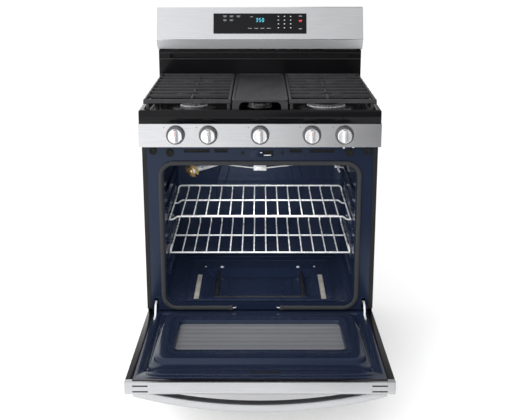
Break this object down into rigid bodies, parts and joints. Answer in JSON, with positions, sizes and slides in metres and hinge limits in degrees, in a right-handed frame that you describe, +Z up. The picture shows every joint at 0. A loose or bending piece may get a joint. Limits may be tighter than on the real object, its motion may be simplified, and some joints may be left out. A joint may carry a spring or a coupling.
{
  "type": "freestanding gas range",
  "caption": "Freestanding gas range: sealed burners under cast grates, griddle, leaning backguard, push-to-turn knobs, oven with racks and drop-down door, storage drawer.",
  "frame": {"origin": "bottom centre of the object's box as it stands with its oven door open; Z = 0 is the floor", "axes": "+X to the right as seen from the front, +Y from the front to the back, +Z up"},
  "size_m": [0.76, 1.1936, 1.181],
  "materials": {
    "stainless": "brushed, satin",
    "black_enamel": "gloss porcelain enamel",
    "black_paint": "fine textured black paint",
    "oven_enamel": "dark blue porcelain enamel, satin",
    "cast_iron": "matt enamelled cast iron",
    "burner_aluminium": "cast and machined",
    "rack_chrome": "polished wire",
    "zinc_plate": "yellow zinc plating",
    "galvanised": "galvanised sheet",
    "burner_steel": "heat-stained steel tube",
    "gasket_cloth": "woven glass fibre",
    "fibre_jacket": "glass fibre blanket",
    "display_glass": "gloss black glass",
    "window_glass": "tinted tempered glass",
    "outer_window_glass": "gloss black tempered glass",
    "lamp_glass": "clear ribbed glass",
    "knob_metal": "satin metal",
    "leg_steel": "plated steel and plastic"
  },
  "bodies": {
    "range_body": {"backguard_panel": "stainless", "backguard_rear": "black_paint", "bake_burner": "burner_steel", "base_pan": "galvanised", "broil_air_shutter": "zinc_plate", "broil_burner": "galvanised", "burner_cap_centre": "cast_iron", "burner_cap_left_front": "cast_iron", "burner_cap_left_rear": "cast_iron", "burner_cap_right_front": "cast_iron", "burner_cap_right_rear": "cast_iron", "burner_head_centre": "burner_aluminium", "burner_head_left_front": "burner_aluminium", "burner_head_left_rear": "burner_aluminium", "burner_head_right_front": "burner_aluminium", "burner_head_right_rear": "burner_aluminium", "control_panel": "stainless", "cooktop": "black_enamel", "display_glass": "display_glass", "door_gasket": "gasket_cloth", "front_frame": "oven_enamel", "gas_manifold": "galvanised", "insulation_blanket": "fibre_jacket", "level_leg_front_left": "leg_steel", "level_leg_front_right": "leg_steel", "level_leg_rear_left": "leg_steel", "level_leg_rear_right": "leg_steel", "oven_floor": "oven_enamel", "oven_lamp": "lamp_glass", "oven_liner": "oven_enamel", "rear_cover": "galvanised", "riser_panel": "black_enamel", "side_panel_left": "black_paint", "side_panel_right": "black_paint", "temperature_probe": "rack_chrome"},
    "door": {"door_skin": "stainless", "door_liner": "oven_enamel", "door_outer_glass": "outer_window_glass", "door_inner_glass": "window_glass", "door_handle": "stainless", "hinge_arm_left": "rack_chrome", "hinge_arm_right": "rack_chrome"},
    "upper_rack": {"rack_upper": "rack_chrome"},
    "lower_rack": {"rack_lower": "rack_chrome"},
    "left_grate": {"grate_left": "cast_iron"},
    "right_grate": {"grate_right": "cast_iron"},
    "griddle_plate": {"griddle": "cast_iron"},
    "drawer": {"drawer_front": "stainless", "drawer_box": "galvanised"},
    "stem_1": {"valve_stem_1": "galvanised"},
    "dial_1": {"knob_1": "knob_metal"},
    "stem_2": {"valve_stem_2": "galvanised"},
    "dial_2": {"knob_2": "knob_metal"},
    "stem_3": {"valve_stem_3": "galvanised"},
    "dial_3": {"knob_3": "knob_metal"},
    "stem_4": {"valve_stem_4": "galvanised"},
    "dial_4": {"knob_4": "knob_metal"},
    "stem_5": {"valve_stem_5": "galvanised"},
    "dial_5": {"knob_5": "knob_metal"}
  },
  "joints": [
    {"name": "door_hinge", "type": "hinge", "parent": "range_body", "child": "door", "pos_m": [0, -0.02823, 0.222], "axis": [1, 0, 0], "range_deg": [-87.5, 0]},
    {"name": "upper_rack_slide", "type": "slide", "parent": "range_body", "child": "upper_rack", "axis": [0, -1, 0], "range_m": [0, 0.28]},
    {"name": "lower_rack_slide", "type": "slide", "parent": "range_body", "child": "lower_rack", "axis": [0, -1, 0], "range_m": [0, 0.28]},
    {"name": "drawer_slide", "type": "slide", "parent": "range_body", "child": "drawer", "axis": [0, -1, 0], "range_m": [0, 0.4]},
    {"name": "left_grate_lift", "type": "slide", "parent": "range_body", "child": "left_grate", "axis": [0, 0, 1], "range_m": [0, 0.05]},
    {"name": "right_grate_lift", "type": "slide", "parent": "range_body", "child": "right_grate", "axis": [0, 0, 1], "range_m": [0, 0.05]},
    {"name": "griddle_plate_lift", "type": "slide", "parent": "range_body", "child": "griddle_plate", "axis": [0, 0, 1], "range_m": [0, 0.05]},
    {"name": "knob_1_push", "type": "slide", "parent": "range_body", "child": "stem_1", "axis": [0, 1, 0], "range_m": [0, 0.004], "stiffness_N_per_m": 700},
    {"name": "knob_1_turn", "type": "hinge", "parent": "stem_1", "child": "dial_1", "pos_m": [-0.264, -0.08822, 0.836], "axis": [0, -1, 0], "range_deg": [0, 240]},
    {"name": "knob_2_push", "type": "slide", "parent": "range_body", "child": "stem_2", "axis": [0, 1, 0], "range_m": [0, 0.004], "stiffness_N_per_m": 700},
    {"name": "knob_2_turn", "type": "hinge", "parent": "stem_2", "child": "dial_2", "pos_m": [-0.162, -0.08822, 0.836], "axis": [0, -1, 0], "range_deg": [0, 240]},
    {"name": "knob_3_push", "type": "slide", "parent": "range_body", "child": "stem_3", "axis": [0, 1, 0], "range_m": [0, 0.004], "stiffness_N_per_m": 700},
    {"name": "knob_3_turn", "type": "hinge", "parent": "stem_3", "child": "dial_3", "pos_m": [0, -0.08822, 0.836], "axis": [0, -1, 0], "range_deg": [0, 240]},
    {"name": "knob_4_push", "type": "slide", "parent": "range_body", "child": "stem_4", "axis": [0, 1, 0], "range_m": [0, 0.004], "stiffness_N_per_m": 700},
    {"name": "knob_4_turn", "type": "hinge", "parent": "stem_4", "child": "dial_4", "pos_m": [0.162, -0.08822, 0.836], "axis": [0, -1, 0], "range_deg": [0, 240]},
    {"name": "knob_5_push", "type": "slide", "parent": "range_body", "child": "stem_5", "axis": [0, 1, 0], "range_m": [0, 0.004], "stiffness_N_per_m": 700},
    {"name": "knob_5_turn", "type": "hinge", "parent": "stem_5", "child": "dial_5", "pos_m": [0.264, -0.08822, 0.836], "axis": [0, -1, 0], "range_deg": [0, 240]}
  ]
}
